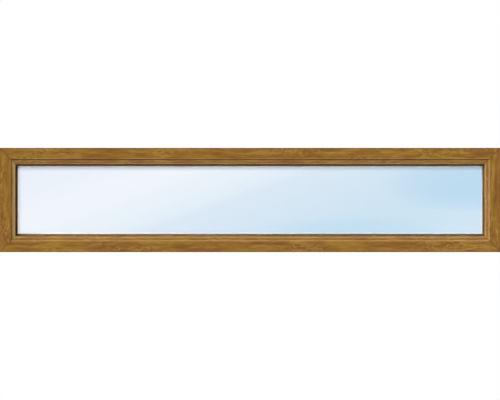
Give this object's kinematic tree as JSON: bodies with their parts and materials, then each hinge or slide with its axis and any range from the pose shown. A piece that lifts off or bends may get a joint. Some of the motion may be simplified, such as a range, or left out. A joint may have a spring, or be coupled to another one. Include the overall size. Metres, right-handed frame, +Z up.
{
  "type": "fixed plastic window",
  "caption": "Long low fixed window: mitred oak-grain plastic frame, double-glazed unit on setting blocks, gaskets and clip-in glazing beads.",
  "frame": {"origin": "middle of the underside of the frame, half way through its thickness", "axes": "+X along the width, -Y towards the weather side that the picture shows, +Y towards the room, +Z up"},
  "size_m": [2, 0.07, 0.416],
  "materials": {
    "frame_foil": "oak-grain laminate foil on hollow plastic profile, satin",
    "bead_foil": "oak-grain laminate foil on glazing bead, satin",
    "gasket": "matt dark brown-black elastomer",
    "bead_gasket": "matt light grey elastomer",
    "glass": "clear coated float glass, polished",
    "spacer": "mill-finish metal spacer bar",
    "edge_sealant": "matt grey-black sealant",
    "setting_block": "moulded plastic"
  },
  "bodies": {
    "root": {"frame_bottom": "frame_foil", "frame_top": "frame_foil", "frame_left": "frame_foil", "frame_right": "frame_foil", "bead_bottom": "bead_foil", "bead_top": "bead_foil", "bead_left": "bead_foil", "bead_right": "bead_foil", "weather_gasket_bottom": "gasket", "weather_gasket_top": "gasket", "weather_gasket_left": "gasket", "weather_gasket_right": "gasket", "bead_gasket_bottom": "bead_gasket", "bead_gasket_top": "bead_gasket", "bead_gasket_left": "bead_gasket", "bead_gasket_right": "bead_gasket", "spacer_bottom": "spacer", "spacer_top": "spacer", "spacer_left": "spacer", "spacer_right": "spacer", "edge_seal_bottom": "edge_sealant", "edge_seal_top": "edge_sealant", "edge_seal_left": "edge_sealant", "edge_seal_right": "edge_sealant", "glass_weather_side": "glass", "glass_room_side": "glass", "block_bottom_left": "setting_block", "block_bottom_right": "setting_block", "block_top_left": "setting_block", "block_top_right": "setting_block", "block_left": "setting_block", "block_right": "setting_block"}
  },
  "joints": []
}
